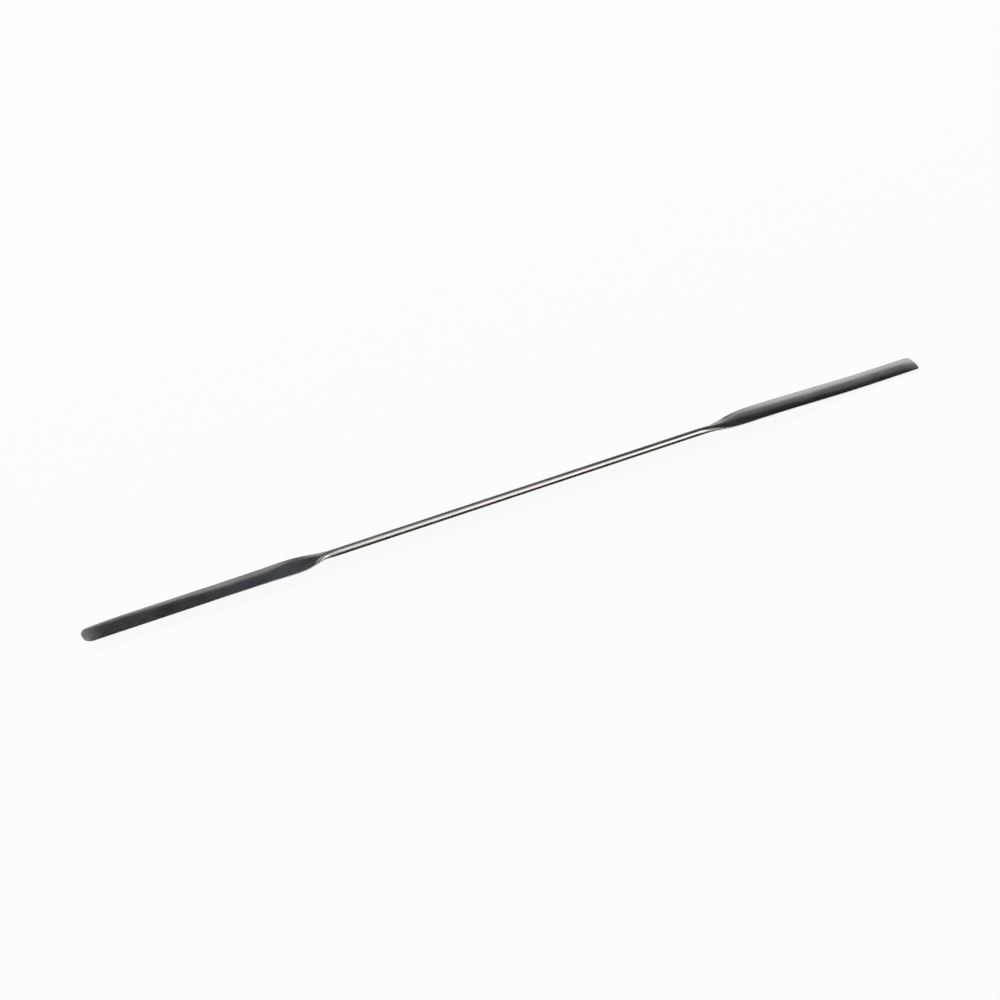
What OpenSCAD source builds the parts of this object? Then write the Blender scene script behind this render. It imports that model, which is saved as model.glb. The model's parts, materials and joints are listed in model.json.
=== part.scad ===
// Double-ended micro spatula, forged in one piece from round steel wire.
// Millimetres. X runs along the shank, Y across the blades, Z up.
// The origin is on the table, below the middle of the tool's length.
// The wire is hammered flat at both ends into a blade with a crowned face.
// The blade at +X arches up a little past its shoulder, then comes down to the table.

/* [Spatula] */
// Length from tip to tip
total_length = 200; // [170:1:260]

/* [Shank] */
// Diameter of the round shank
shank_d = 1.6; // [1.3:0.1:2.4]

/* [Blades] */
// Length of the -X blade, with its shoulder
round_blade_length = 56; // [40:0.5:66]
// Length of the +X blade, with its shoulder
square_blade_length = 57.5; // [40:0.5:66]
// Length of the shoulder, where the wire spreads into the blade
shoulder_length = 13.5; // [8:0.5:18]
// Width of a blade beside its shoulder
blade_w = 5; // [3.5:0.1:8]
// Width of the -X blade beside its tip
round_tip_w = 4.5; // [4.4:0.1:8]
// Width of the +X blade beside its tip
square_tip_w = 4.9; // [4.4:0.1:8]
// Thickness of a blade beside its shoulder, at mid-width
blade_t = 0.6; // [0.4:0.05:0.9]
// Thickness of a blade beside its tip, at mid-width
tip_t = 0.44; // [0.3:0.02:0.8]
// Radius of the rounded long edges, beside the shoulder
edge_r = 0.1; // [0.06:0.01:0.14]

/* [Tips] */
// Corner radius of the rounder tip, at -X
round_corner_r = 1.6; // [0.5:0.1:2.2]
// Corner radius of the squarer tip, at +X
square_corner_r = 1.1; // [0.5:0.1:2.2]
// Length of the thinned stretch at each tip
bevel_length = 4; // [2.5:0.5:8]
// Thickness of each tip's end edge
end_t = 0.2; // [0.1:0.02:0.28]

/* [Bend] */
// Rise of the +X blade's mid-plane above the shank's axis
crest_rise = 0.25; // [0:0.05:0.6]
// Distance of the highest point from the +X blade's root
crest_x = 12; // [8:1:20]
// Length of the stretch before the +X tip that lies on the table
landing_length = 12; // [8:0.5:16]

/* [Hidden] */

// Radius of the shank, which is also the height of its axis
shank_r = shank_d / 2;
// Length of the shank between the two shoulders
shank_length = total_length - round_blade_length - square_blade_length;
// Share of the half thickness that the crown takes, the edge radius being the rest
crown = (blade_t / 2 - edge_r) / (blade_t / 2) / (1 - 2 * edge_r / blade_w);
// How far the blade's first ring sits inside the shank, lengthwise and below its skin
root_overlap = 1;
root_inset = 0.02;

// Rings across the shoulder, along the body, along the bevel, and round the tip's corners
SHOULDER_RINGS = 9;
BODY_RINGS = 8;
BEVEL_RINGS = 3;
CORNER_RINGS = 6;
// Steps over half of each face, and round each long edge
FACE_STEPS = 4;
EDGE_STEPS = 4;
// Fineness of the round shank
SHANK_FN = 96;

function mix(a, b, s) = a + (b - a) * s;
function clamp(v, low, high) = max(low, min(high, v));
// Smooth step from 0 to 1
function ease(s) = let (k = clamp(s, 0, 1)) k * k * (3 - 2 * k);
// Smooth step from 0 to 1 that ends more slowly than it starts
function late_ease(s) = let (k = clamp(s, 0, 1)) 1 - pow(1 - k, 3) * (1 + 3 * k);

// In what follows x is the distance from a blade's root, and length is that blade's length.
// How far the wire has spread into the blade
function spread(x) = late_ease(x / shoulder_length);
// How far along the flat body the station lies, from the shoulder to the thinned stretch
function along(x, length) =
    clamp((x - shoulder_length) / (length - bevel_length - shoulder_length), 0, 1);
// Half width before the tip's corners are cut: it narrows to tip_w, faster at first
function full_half_w(x, length, tip_w) =
    mix(shank_r, mix(blade_w, tip_w, sin(90 * along(x, length))) / 2, spread(x));
// What a tip corner of radius r takes from the half width
function corner_cut(x, length, r) =
    let (left = clamp(length - x, 0, r))
    r - sqrt(r * r - (r - left) * (r - left));
function half_w(x, length, tip_w, r) = full_half_w(x, length, tip_w) - corner_cut(x, length, r);
// Thickness falls as the width grows, because the metal only moves sideways
function body_half_t(x, length) =
    1 / mix(1 / shank_r, 2 / mix(blade_t, tip_t, along(x, length)), spread(x));
// The last stretch thins to the end edge, slowly at first
function half_t(x, length) =
    mix(body_half_t(x, length), end_t / 2, pow(clamp((x - length + bevel_length) / bevel_length, 0, 1), 2));
// Height of the mid-plane: level, or up to the crest and down until the underside meets the table
function mid_z(x, length, bent) =
    !bent ? shank_r :
    x < crest_x ? shank_r + crest_rise * ease(x / crest_x) :
    let (fall = ease((x - crest_x) / (length - landing_length - crest_x)))
    mix(shank_r + crest_rise, body_half_t(x, length), fall);

// Outline of the section with half width w and half thickness h: a shallow
// parabola above and below, grown outwards by the radius of the long edge.
// Where w equals h the outline is the full circle of the shank.
function edge_radius(w, h) = h * (1 - crown) / (1 - crown * h / w);
// Slope of the crowned face where it meets the long edge
function face_slope(w, h) = crown * 2 * h / w;
// Point on the upper face, from u = -1 at one long edge to u = 1 at the other
function face_point(w, h, u) =
    let (edge = edge_radius(w, h), reach = w - edge, slope = face_slope(w, h), tilt = atan(slope * u))
    [reach * u + edge * sin(tilt), reach * slope / 2 * (1 - u * u) + edge * cos(tilt)];
// Point round the +Y long edge, from s = 0 at the upper face to s = 1 at the lower
function edge_point(w, h, s) =
    let (edge = edge_radius(w, h), start = atan(face_slope(w, h)), tilt = mix(start, 180 - start, s))
    [w - edge + edge * sin(tilt), edge * cos(tilt)];
function section(w, h) = concat(
    [for (i = [FACE_STEPS : -1 : -FACE_STEPS]) face_point(w, h, i / FACE_STEPS)],
    [for (i = [1 : EDGE_STEPS - 1]) let (p = edge_point(w, h, i / EDGE_STEPS)) [-p[0], p[1]]],
    [for (i = [-FACE_STEPS : FACE_STEPS]) let (p = face_point(w, h, i / FACE_STEPS)) [p[0], -p[1]]],
    [for (i = [EDGE_STEPS - 1 : -1 : 1]) edge_point(w, h, i / EDGE_STEPS)]
);

// Distances of the rings from the blade's root, for a tip corner of radius r
function stations(length, r) = concat(
    [for (i = [1 : SHOULDER_RINGS]) shoulder_length * i / SHOULDER_RINGS],
    [for (i = [1 : BODY_RINGS]) mix(shoulder_length, length - bevel_length, i / BODY_RINGS)],
    [for (i = [1 : BEVEL_RINGS]) mix(length - bevel_length, length - r, i / BEVEL_RINGS)],
    [for (i = [1 : CORNER_RINGS]) length - r * (1 - sin(90 * i / CORNER_RINGS))]
);

// Points of the section at x, with its middle at height z
function ring(x, length, w, h, z) =
    [for (p = section(w, h)) [total_length / 2 - length + x, p[0], z + p[1]]];

// One blade, pointing along +X, with rounded tip corners
module blade(length, tip_w, corner_r, bent) {
    // A short straight end edge is always left between the corners
    r = min(corner_r, tip_w / 2 - end_t);
    start_r = shank_r - root_inset;
    rings = concat(
        [for (x = [-root_overlap, 0]) ring(x, length, start_r, start_r, shank_r)],
        [
            for (x = stations(length, r))
                ring(x, length, half_w(x, length, tip_w, r), half_t(x, length), mid_z(x, length, bent))
        ]
    );
    per_ring = len(rings[0]);
    last = len(rings) - 1;
    points = [for (one = rings) for (p = one) p];
    // Two triangles close each patch between two rings, since its corners are not in one plane
    sides = [
        for (i = [0 : last - 1]) for (j = [0 : per_ring - 1])
            let (a = i * per_ring + j, b = i * per_ring + (j + 1) % per_ring)
            for (face = [[a, a + per_ring, b + per_ring], [a, b + per_ring, b]]) face
    ];
    root_cap = [for (j = [0 : per_ring - 1]) j];
    end_cap = [for (j = [per_ring - 1 : -1 : 0]) last * per_ring + j];
    polyhedron(points, concat(sides, [root_cap, end_cap]), convexity = 4);
}

module shank() {
    translate([round_blade_length - total_length / 2, 0, shank_r])
        rotate([0, 90, 0])
            cylinder(h = shank_length, d = shank_d, $fn = SHANK_FN);
}

// The whole spatula is one forging
module spatula() {
    color([0.62, 0.62, 0.63]) {
        shank();
        blade(square_blade_length, square_tip_w, square_corner_r, true);
        mirror([1, 0, 0]) blade(round_blade_length, round_tip_w, round_corner_r, false);
    }
}

spatula();
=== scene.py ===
"""The looks of a double-ended micro spatula: one polished steel forging on a pale studio floor."""

import json
import math

import bmesh
import bpy
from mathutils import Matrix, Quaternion, Vector, noise


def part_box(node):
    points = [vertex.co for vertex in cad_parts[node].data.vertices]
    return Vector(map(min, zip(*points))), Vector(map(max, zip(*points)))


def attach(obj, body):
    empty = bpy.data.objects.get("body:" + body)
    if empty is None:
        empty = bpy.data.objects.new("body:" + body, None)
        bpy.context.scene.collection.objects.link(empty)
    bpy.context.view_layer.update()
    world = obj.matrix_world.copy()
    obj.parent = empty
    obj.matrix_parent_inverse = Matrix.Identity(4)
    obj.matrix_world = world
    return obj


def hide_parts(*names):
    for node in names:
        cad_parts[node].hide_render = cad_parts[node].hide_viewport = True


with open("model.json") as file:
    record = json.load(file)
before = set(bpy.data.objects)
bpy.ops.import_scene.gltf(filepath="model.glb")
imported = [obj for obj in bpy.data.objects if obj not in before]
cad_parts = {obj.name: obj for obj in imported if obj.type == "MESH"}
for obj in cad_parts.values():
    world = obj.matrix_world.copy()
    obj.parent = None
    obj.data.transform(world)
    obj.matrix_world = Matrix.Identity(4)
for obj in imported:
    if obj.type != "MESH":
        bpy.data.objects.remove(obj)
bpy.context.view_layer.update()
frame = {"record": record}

MM = 0.001

# ---------------------------------------------------------------- sizes of the spatula

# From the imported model
shank_mount = next(m for m in frame["record"]["mounts"] if m["name"] == "shank")
SHANK_R = shank_mount["dims"]["r_mm"] * MM
SHANK_LENGTH = shank_mount["dims"]["length_mm"] * MM
SHANK_START = shank_mount["pos_m"][0] - SHANK_LENGTH / 2
SHANK_END = SHANK_START + SHANK_LENGTH
LOW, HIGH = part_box("spatula")
BLADE_W = HIGH.y - LOW.y

# The rest of the blades' sizes, as in the part's source
SHOULDER_LENGTH = 13.5 * MM
BEVEL_LENGTH = 4 * MM
BLADE_T = 0.6 * MM
TIP_T = 0.44 * MM
END_T = 0.2 * MM
EDGE_R = 0.1 * MM
CREST_RISE = 0.25 * MM
CREST_X = 12 * MM
LANDING_LENGTH = 12 * MM
# Share of the half thickness that the crown takes, the edge radius being the rest
CROWN = (BLADE_T / 2 - EDGE_R) / (BLADE_T / 2) / (1 - 2 * EDGE_R / BLADE_W)

# The hammer's waves on the blades: their height, and their length along and across
WAVE = 0.007 * MM
WAVE_LENGTH = 9 * MM
WAVE_WIDTH = 4 * MM
# Length of the worn stretch at a tip's far corner
WORN_LENGTH = 9 * MM

# Fineness of the mesh: spacing of the rings, and steps round a ring
SHANK_STEP = 0.8 * MM
SHOULDER_STEP = 0.2 * MM
BODY_STEP = 0.4 * MM
TIP_RINGS = 26
FACE_STEPS = 20
EDGE_STEPS = 10

# ---------------------------------------------------------------- finish and light

# The steel's colour where its mottling is darkest and lightest, and its roughness there
DARK_STEEL = (0.50, 0.505, 0.52, 1)
LIGHT_STEEL = (0.59, 0.588, 0.58, 1)
SMOOTH = 0.13
ROUGH = 0.17
# What is left of its reflection at a grazing angle
GRAZING_TINT = (0.6, 0.6, 0.6, 1)
# What a scratch takes from the roughness or adds to it, and how much smoother a worn edge is
SCRATCH_SHARE = (-0.02, 0.03)
EDGE_POLISH = 0.04
# Nearness to a long edge over which the wear sets in
EDGE_SPAN = (0.8, 1.0)
# Depths of the scratches and the pits
SCRATCH_DEPTH = 0.0006 * MM
PIT_DEPTH = 0.0015 * MM
# Nearly all of a noise texture's values lie between these two
NOISE_SPAN = (0.3, 0.7)

# Tints of the studio's light
PLAIN = (1.0, 1.0, 1.0)
WARM = (1.0, 0.944, 0.88)
COOL = (0.9, 0.98, 1.12)

FLOOR_COLOUR = (0.9, 0.9, 0.9, 1)
FLOOR_RADIUS = 4.0
# How far the floor is lifted to plain white, as each kind of ray sees it. The fill lamp alone
# makes it pale in the steel, so the lift is small there and the steel shows the tool's shadow.
FLOOR_LIFT = {"Is Camera Ray": 0.94, "Is Transmission Ray": 0.94, "Is Glossy Ray": 0.02}

# Sockets of a Mix node that mixes colours
MIX_A, MIX_B, MIX_RESULT = 6, 7, 2


# ---------------------------------------------------------------- shape of the forging

def mix(a, b, s):
    return a + (b - a) * s


def clamp(v, low=0.0, high=1.0):
    return max(low, min(high, v))


def ease(s):
    """Smooth step from 0 to 1."""
    k = clamp(s)
    return k * k * (3 - 2 * k)


def late_ease(s):
    """Smooth step from 0 to 1 that ends more slowly than it starts."""
    k = clamp(s)
    return 1 - (1 - k) ** 3 * (1 + 3 * k)


def section(w, h):
    """Ring of (y, z, nearness to a long edge) with half width w and half thickness h.

    It is a shallow parabola above and below, rounded at both long edges. Where w equals h
    it is the full circle of the shank.
    """
    edge = h * (1 - CROWN) / (1 - CROWN * h / w)
    reach = w - edge
    slope = CROWN * 2 * h / w
    start = math.atan(slope)
    upper = []
    for i in range(FACE_STEPS, -FACE_STEPS - 1, -1):
        u = i / FACE_STEPS
        tilt = math.atan(slope * u)
        y = reach * u + edge * math.sin(tilt)
        z = reach * slope / 2 * (1 - u * u) + edge * math.cos(tilt)
        upper.append((y, z, abs(u)))
    side = []
    for i in range(1, EDGE_STEPS):
        tilt = mix(start, math.pi - start, i / EDGE_STEPS)
        side.append((reach + edge * math.sin(tilt), edge * math.cos(tilt), 1.0))
    left = [(-y, z, n) for y, z, n in side]
    lower = [(y, -z, n) for y, z, n in reversed(upper)]
    return upper + left + lower + side[::-1]


class Blade:
    """A blade at one end of the tool. In its methods x runs from its root, on the shank, to its tip."""

    # Its long edges: near is towards -Y and far towards +Y
    NEAR, FAR = 0, 1

    def __init__(self, side, length, tip_w, corner_r, bent, flares, twists, worn):
        # -1 or 1: the end of the X axis that the blade points to
        self.side = side
        self.length = length
        self.tip_w = tip_w
        self.corner_r = corner_r
        # Whether it arches up to a crest and comes down to the table
        self.bent = bent
        # Where the near and then the far edge flare: (start, end) in millimetres from the root
        self.flares = flares
        # Rows of (millimetres from the root, degrees)
        self.twists = twists
        # Share of the far half that is worn off at the tip
        self.worn = worn

    def spread(self, x, edge=None):
        """How far the wire has spread into the blade, at its near edge, its far edge or on average."""
        if edge is None:
            return (self.spread(x, self.NEAR) + self.spread(x, self.FAR)) / 2
        start, end = self.flares[edge]
        return late_ease((x / MM - start) / (end - start))

    def along(self, x):
        """How far along the flat body the place is, from the shoulder to the bevel."""
        return clamp((x - SHOULDER_LENGTH) / (self.length - BEVEL_LENGTH - SHOULDER_LENGTH))

    def half_width(self, x, edge=None):
        """Half width towards one long edge or on average, with the tip's corners cut."""
        flat = mix(BLADE_W, self.tip_w, math.sin(math.pi / 2 * self.along(x))) / 2
        left = clamp(self.length - x, 0, self.corner_r)
        cut = self.corner_r - math.sqrt(self.corner_r**2 - (self.corner_r - left) ** 2)
        return mix(SHANK_R, flat, self.spread(x, edge)) - cut

    def body_half_thickness(self, x):
        """Half thickness before the bevel: it falls as the wire spreads."""
        return 1 / mix(1 / SHANK_R, 2 / mix(BLADE_T, TIP_T, self.along(x)), self.spread(x))

    def half_thickness(self, x):
        """Half thickness with the bevel, which thins it to the end edge."""
        bevel = clamp((x - self.length + BEVEL_LENGTH) / BEVEL_LENGTH)
        return mix(self.body_half_thickness(x), END_T / 2, bevel**2)

    def mid_height(self, x):
        """Height of the mid-plane: level, or up to a crest and then down to lie on the table."""
        if not self.bent:
            return SHANK_R
        crest = SHANK_R + CREST_RISE
        if x < CREST_X:
            return mix(SHANK_R, crest, ease(x / CREST_X))
        fall = ease((x - CREST_X) / (self.length - LANDING_LENGTH - CREST_X))
        return mix(crest, self.body_half_thickness(x), fall)

    def twist(self, x):
        """Turn of the section about the tool's axis, eased between the rows of twists."""
        places = [row[0] * MM for row in self.twists]
        turns = [math.radians(row[1]) for row in self.twists]
        for i in range(1, len(places)):
            if x <= places[i]:
                share = (x - places[i - 1]) / (places[i] - places[i - 1])
                return mix(turns[i - 1], turns[i], ease(share))
        return turns[-1]

    def stations(self):
        """Distances of the rings from the root."""
        shoulder = round(SHOULDER_LENGTH / SHOULDER_STEP)
        body = round((self.length - self.corner_r - SHOULDER_LENGTH) / BODY_STEP)
        found = [SHOULDER_LENGTH * i / shoulder for i in range(shoulder)]
        found += [mix(SHOULDER_LENGTH, self.length - self.corner_r, i / body) for i in range(body)]
        for i in range(TIP_RINGS + 1):
            found.append(self.length - self.corner_r * (1 - math.sin(math.pi / 2 * i / TIP_RINGS)))
        return found

    def ring(self, x):
        """Points of the section at x, each with how near it lies to a long edge."""
        root = SHANK_START if self.side < 0 else SHANK_END
        world_x = root + self.side * x
        turn = self.twist(x)
        wear = self.worn * clamp(1 - (self.length - x) / WORN_LENGTH) ** 2
        half_width = self.half_width(x)
        near_share = self.half_width(x, self.NEAR) / half_width
        far_share = self.half_width(x, self.FAR) / half_width * (1 - wear)
        points = []
        for y, z, near_edge in section(half_width, self.half_thickness(x)):
            y *= far_share if y > 0 else near_share
            wave = noise.noise((world_x / WAVE_LENGTH, y / WAVE_WIDTH, self.side))
            lift = WAVE * self.spread(x) * (1 - near_edge**4) * wave
            turned_y = y * math.cos(turn) + z * math.sin(turn)
            turned_z = z * math.cos(turn) - y * math.sin(turn)
            height = max(self.mid_height(x) + turned_z + lift, 0)
            points.append(((world_x, turned_y, height), near_edge * self.spread(x)))
        return points

    def rings(self):
        return [self.ring(x) for x in self.stations()]


def shank_rings():
    """The rings of the round shank, without those where the blades start."""
    count = round(SHANK_LENGTH / SHANK_STEP)
    circle = section(SHANK_R, SHANK_R)
    rings = []
    for i in range(1, count):
        x = mix(SHANK_START, SHANK_END, i / count)
        rings.append([((x, y, SHANK_R + z), 0.0) for y, z, _ in circle])
    return rings


def rounder_blade():
    """The level blade at -X, with a worn far corner."""
    return Blade(
        side=-1,
        length=SHANK_START - LOW.x,
        tip_w=4.5 * MM,
        corner_r=1.6 * MM,
        bent=False,
        flares=[(2.5, 10.5), (0.0, 14.0)],
        twists=[(9, 0.0), (17, 3.8), (26, 3.6), (35, 1.5), (46, 0.3)],
        worn=0.2,
    )


def squarer_blade():
    """The blade at +X that comes down to the table."""
    return Blade(
        side=1,
        length=HIGH.x - SHANK_END,
        tip_w=4.9 * MM,
        corner_r=1.1 * MM,
        bent=True,
        flares=[(0.0, 12.5), (2.0, 15.0)],
        twists=[(0, 0.0), (3.5, 4.5), (9, 0.1), (36, 0.0), (44, 1.0), (57, 1.5)],
        worn=0.0,
    )


def skin(name, rings):
    """Closed mesh over the rings, with an attribute that is 1 along the blades' long edges."""
    bm = bmesh.new()
    edge_layer = bm.verts.layers.float.new("long_edge")
    loops = []
    for ring in rings:
        loop = []
        for place, near_edge in ring:
            vert = bm.verts.new(place)
            vert[edge_layer] = near_edge
            loop.append(vert)
        loops.append(loop)
    count = len(loops[0])
    for one, two in zip(loops, loops[1:]):
        for j in range(count):
            k = (j + 1) % count
            bm.faces.new((one[j], one[k], two[k], two[j]))
    bm.faces.new(loops[0][::-1])
    bm.faces.new(loops[-1])
    bmesh.ops.recalc_face_normals(bm, faces=bm.faces)
    mesh = bpy.data.meshes.new(name)
    bm.to_mesh(mesh)
    bm.free()
    mesh.shade_smooth()
    return mesh


def build_spatula():
    """The whole tool: one closed skin from tip to tip."""
    rings = rounder_blade().rings()[::-1] + shank_rings() + squarer_blade().rings()
    piece = bpy.data.objects.new("spatula_forging", skin("spatula_forging", rings))
    bpy.context.scene.collection.objects.link(piece)
    return piece


# ---------------------------------------------------------------- materials

def new_material(name):
    material = bpy.data.materials.new(name)
    material.use_nodes = True
    material.node_tree.nodes.clear()
    return material, material.node_tree.nodes, material.node_tree.links


def polished_steel():
    """Satin-polished stainless steel: soft mottling, fine scratches along the tool, smoother long edges."""
    material, nodes, links = new_material("polished_steel")
    out = nodes.new("ShaderNodeOutputMaterial")
    steel = nodes.new("ShaderNodeBsdfPrincipled")
    steel.inputs["Metallic"].default_value = 1.0
    steel.inputs["Specular Tint"].default_value = GRAZING_TINT
    links.new(steel.outputs["BSDF"], out.inputs["Surface"])
    place = nodes.new("ShaderNodeTexCoord").outputs["Object"]

    def noise_field(scale, detail):
        """Noise over the tool, with scale repeats a metre along X, Y and Z."""
        stretch = nodes.new("ShaderNodeMapping")
        stretch.inputs["Scale"].default_value = scale
        links.new(place, stretch.inputs["Vector"])
        field = nodes.new("ShaderNodeTexNoise")
        field.inputs["Scale"].default_value = 1.0
        field.inputs["Detail"].default_value = detail
        links.new(stretch.outputs["Vector"], field.inputs["Vector"])
        return field.outputs["Fac"]

    def remap(value, low, high, span=NOISE_SPAN):
        """The value stretched from its span to the range from low to high."""
        node = nodes.new("ShaderNodeMapRange")
        node.inputs["From Min"].default_value = span[0]
        node.inputs["From Max"].default_value = span[1]
        node.inputs["To Min"].default_value = low
        node.inputs["To Max"].default_value = high
        links.new(value, node.inputs["Value"])
        return node.outputs["Result"]

    def combine(operation, a, b):
        node = nodes.new("ShaderNodeMath")
        node.operation = operation
        links.new(a, node.inputs[0])
        links.new(b, node.inputs[1])
        return node.outputs[0]

    def bump(height, depth):
        node = nodes.new("ShaderNodeBump")
        node.inputs["Distance"].default_value = depth
        links.new(height, node.inputs["Height"])
        return node

    mottle = noise_field((260, 420, 420), detail=4)
    scratches = noise_field((60, 9000, 9000), detail=3)
    pits = noise_field((1500, 1500, 1500), detail=2)
    long_edge = nodes.new("ShaderNodeAttribute")
    long_edge.attribute_name = "long_edge"

    colour = nodes.new("ShaderNodeMix")
    colour.data_type = "RGBA"
    colour.inputs[MIX_A].default_value = DARK_STEEL
    colour.inputs[MIX_B].default_value = LIGHT_STEEL
    links.new(remap(mottle, 0.0, 1.0), colour.inputs["Factor"])
    links.new(colour.outputs[MIX_RESULT], steel.inputs["Base Color"])

    satin = combine("ADD", remap(mottle, SMOOTH, ROUGH), remap(scratches, *SCRATCH_SHARE))
    polish = remap(long_edge.outputs["Fac"], 0.0, EDGE_POLISH, span=EDGE_SPAN)
    links.new(combine("SUBTRACT", satin, polish), steel.inputs["Roughness"])

    scored = bump(scratches, SCRATCH_DEPTH)
    pitted = bump(pits, PIT_DEPTH)
    links.new(scored.outputs["Normal"], pitted.inputs["Normal"])
    links.new(pitted.outputs["Normal"], steel.inputs["Normal"])
    return material


def pale_floor():
    """Pale matt floor that keeps its shadows, with each kind of ray's lift towards white."""
    material, nodes, links = new_material("pale_floor")
    out = nodes.new("ShaderNodeOutputMaterial")
    matt = nodes.new("ShaderNodeBsdfDiffuse")
    matt.inputs["Color"].default_value = FLOOR_COLOUR
    white = nodes.new("ShaderNodeEmission")
    white.inputs["Strength"].default_value = 1.0
    path = nodes.new("ShaderNodeLightPath")
    share = nodes.new("ShaderNodeValue")
    share.outputs[0].default_value = 0
    for ray, lift in FLOOR_LIFT.items():
        part = nodes.new("ShaderNodeMath")
        part.operation = "MULTIPLY_ADD"
        part.inputs[1].default_value = lift
        links.new(path.outputs[ray], part.inputs[0])
        links.new(share.outputs[0], part.inputs[2])
        share = part
    both = nodes.new("ShaderNodeMixShader")
    links.new(share.outputs[0], both.inputs["Fac"])
    links.new(matt.outputs["BSDF"], both.inputs[1])
    links.new(white.outputs["Emission"], both.inputs[2])
    links.new(both.outputs["Shader"], out.inputs["Surface"])
    return material


# ---------------------------------------------------------------- stage and light

def direction(azimuth, elevation):
    """Unit vector from the object: azimuth 0 is towards -Y and 90 towards +X, in degrees."""
    a, e = math.radians(azimuth), math.radians(elevation)
    return Vector((math.sin(a) * math.cos(e), -math.cos(a) * math.cos(e), math.sin(e)))


def build_floor():
    bm = bmesh.new()
    bmesh.ops.create_circle(bm, cap_ends=True, radius=FLOOR_RADIUS, segments=96)
    mesh = bpy.data.meshes.new("floor")
    bm.to_mesh(mesh)
    bm.free()
    floor = bpy.data.objects.new("floor", mesh)
    bpy.context.scene.collection.objects.link(floor)
    mesh.materials.append(pale_floor())


def softbox(name, place, roll, size, radiance, tint, on_gloss=True, on_matt=True):
    """Rectangular lamp that faces the object.

    place is its azimuth and elevation in degrees and its distance in metres, roll turns it
    about its own axis in degrees, and size is its width and height in metres. It can be
    hidden from shiny surfaces or from matt ones.
    """
    azimuth, elevation, distance = place
    width, height = size
    lamp = bpy.data.lights.new(name, "AREA")
    lamp.shape = "RECTANGLE"
    lamp.size = width
    lamp.size_y = height
    lamp.color = tint
    lamp.energy = radiance * math.pi * width * height
    holder = bpy.data.objects.new(name, lamp)
    bpy.context.scene.collection.objects.link(holder)
    away = direction(azimuth, elevation)
    holder.location = away * distance
    holder.rotation_mode = "QUATERNION"
    holder.rotation_quaternion = away.to_track_quat("Z", "Y") @ Quaternion((0, 0, 1), math.radians(roll))
    holder.visible_camera = False
    holder.visible_glossy = on_gloss
    holder.visible_diffuse = on_matt


def build_lamps():
    """Two warm softboxes for the steel's highlights alone, and a fill behind for the floor alone."""
    softbox(
        "key_softbox",
        place=(34.5, 28, 1.2),
        roll=0,
        size=(0.78, 1.1),
        radiance=1.8,
        tint=WARM,
        on_matt=False,
    )
    softbox(
        "top_softbox",
        place=(59, 69.6, 1.2),
        roll=-57.3,
        size=(0.305, 1.1),
        radiance=0.52,
        tint=WARM,
        on_matt=False,
    )
    softbox(
        "floor_fill",
        place=(180, 17, 1.6),
        roll=0,
        size=(3.0, 0.5),
        radiance=18.5,
        tint=PLAIN,
        on_gloss=False,
    )


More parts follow.
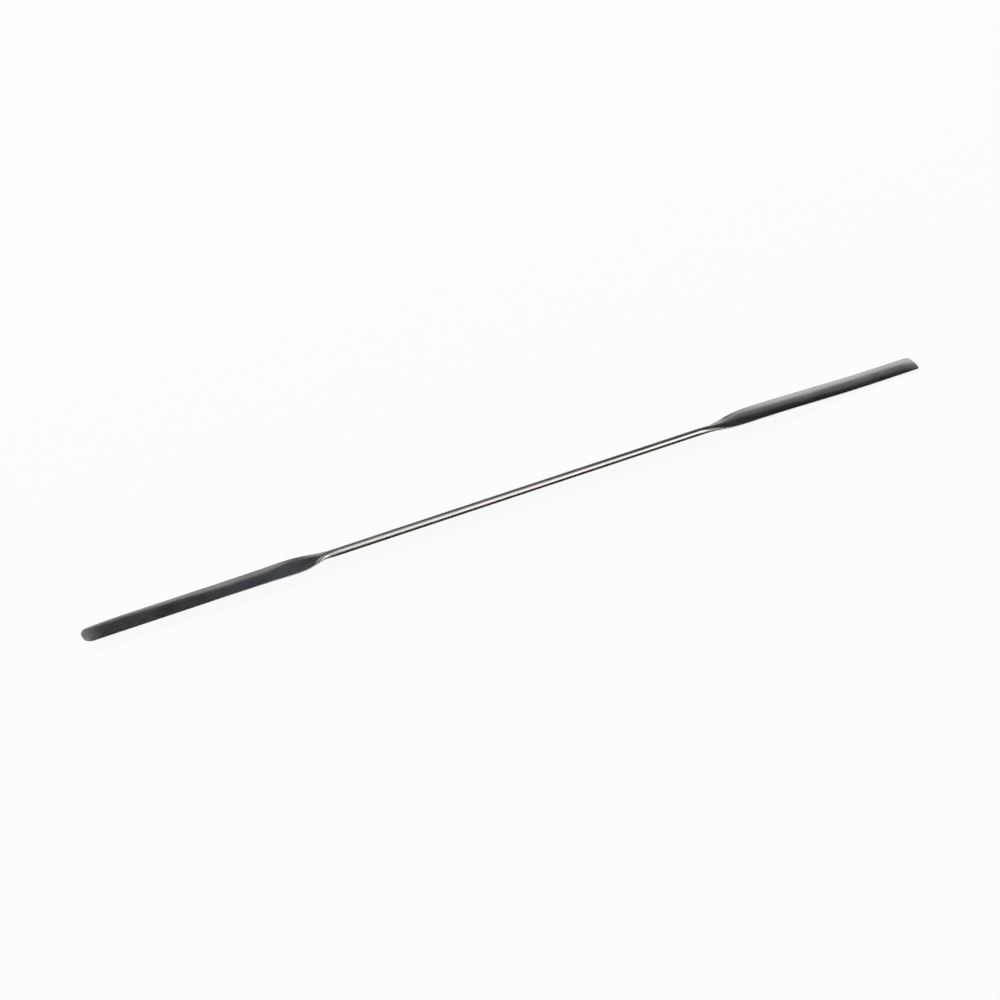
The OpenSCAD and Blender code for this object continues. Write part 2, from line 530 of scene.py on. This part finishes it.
def build_world():
    """The studio that the steel reflects: a wall behind the tool, a cornice above it and a ceiling.

    The wall is pale apart from a dark gap a little towards +X, a pale band runs along the
    horizon, and both fade out in front of the tool. The cornice and the ceiling are dark, apart
    from a pale stretch near the middle and a cool patch above the gap.
    """
    world = bpy.data.worlds.new("studio")
    bpy.context.scene.world = world
    world.use_nodes = True
    nodes, links = world.node_tree.nodes, world.node_tree.links
    nodes.clear()
    split = nodes.new("ShaderNodeSeparateXYZ")
    links.new(nodes.new("ShaderNodeTexCoord").outputs["Generated"], split.inputs[0])

    def graded(axis, stops):
        """Light by one axis of the direction. Stops are (place from -1 to 1, level, tint if not plain)."""
        centred = nodes.new("ShaderNodeMapRange")
        centred.inputs["From Min"].default_value = -1
        links.new(split.outputs[axis], centred.inputs["Value"])
        ramp = nodes.new("ShaderNodeValToRGB")
        ramp.color_ramp.interpolation = "EASE"
        while len(ramp.color_ramp.elements) < len(stops):
            ramp.color_ramp.elements.new(0.5)
        for element, (place, level, *tinted) in zip(ramp.color_ramp.elements, stops):
            tint = tinted[0] if tinted else PLAIN
            element.position = (place + 1) / 2
            element.color = [level * channel for channel in tint] + [1]
        links.new(centred.outputs["Result"], ramp.inputs["Fac"])
        return ramp.outputs["Color"]

    def blend(one, two, share=None, kind="MIX"):
        """The second laid over the first, by a share or in full."""
        node = nodes.new("ShaderNodeMix")
        node.data_type = "RGBA"
        node.blend_type = kind
        node.inputs["Factor"].default_value = 1
        if share:
            links.new(share, node.inputs["Factor"])
        links.new(one, node.inputs[MIX_A])
        links.new(two, node.inputs[MIX_B])
        return node.outputs[MIX_RESULT]

    wall = graded("X", [(-0.3, 0.5), (0.21, 0.6), (0.31, 0.08), (0.385, 0.1), (0.43, 0.6), (0.52, 0.95)])
    horizon = graded("Z", [(0.18, 0.8), (0.3, 0.0)])
    behind = graded("Y", [(-0.1, 0.05), (0.25, 1.0)])
    above_wall = graded("Z", [(0.46, 0), (0.52, 1)])
    above_cornice = graded("Z", [(0.605, 0), (0.655, 1)])
    pale_stretch = [(-0.15, 0.05), (-0.05, 0.4), (0.09, 0.37)]
    cornice = graded("X", pale_stretch + [(0.21, 0.03), (0.3, 0.15, COOL), (0.34, 0.08), (0.42, 0.18)])
    ceiling = graded(
        "X",
        pale_stretch + [(0.21, 0.02), (0.3, 0.14, COOL), (0.34, 0.035), (0.44, 0.05), (0.5, 0.015)],
    )
    lit_wall = blend(blend(wall, horizon, kind="LIGHTEN"), behind, kind="MULTIPLY")
    studio = blend(lit_wall, blend(cornice, ceiling, above_cornice), above_wall)
    # The fill lamp alone lights what is matt, so that the floor keeps the tool's shadow
    world.cycles_visibility.diffuse = False
    background = nodes.new("ShaderNodeBackground")
    links.new(studio, background.inputs["Color"])
    out = nodes.new("ShaderNodeOutputWorld")
    links.new(background.outputs["Background"], out.inputs["Surface"])


def build_camera():
    """Long lens at the front left, well above the floor and aimed near the tool's middle."""
    data = bpy.data.cameras.new("camera")
    data.sensor_width = 36
    data.lens = 89.2
    data.clip_start = 0.01
    data.clip_end = 20
    camera = bpy.data.objects.new("camera", data)
    bpy.context.scene.collection.objects.link(camera)
    back = direction(azimuth=-27.54, elevation=39.5)
    target = Vector((-6.67 * MM, -0.62 * MM, SHANK_R))
    distance = 525.1 * MM
    camera.location = target + back * distance
    camera.rotation_mode = "QUATERNION"
    camera.rotation_quaternion = back.to_track_quat("Z", "Y")
    bpy.context.scene.camera = camera


# ---------------------------------------------------------------- build

build_camera()
build_floor()
build_world()
build_lamps()

spatula = build_spatula()
spatula.data.materials.append(polished_steel())
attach(spatula, "root")
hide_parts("spatula")

bpy.context.scene.view_settings.view_transform = "Standard"
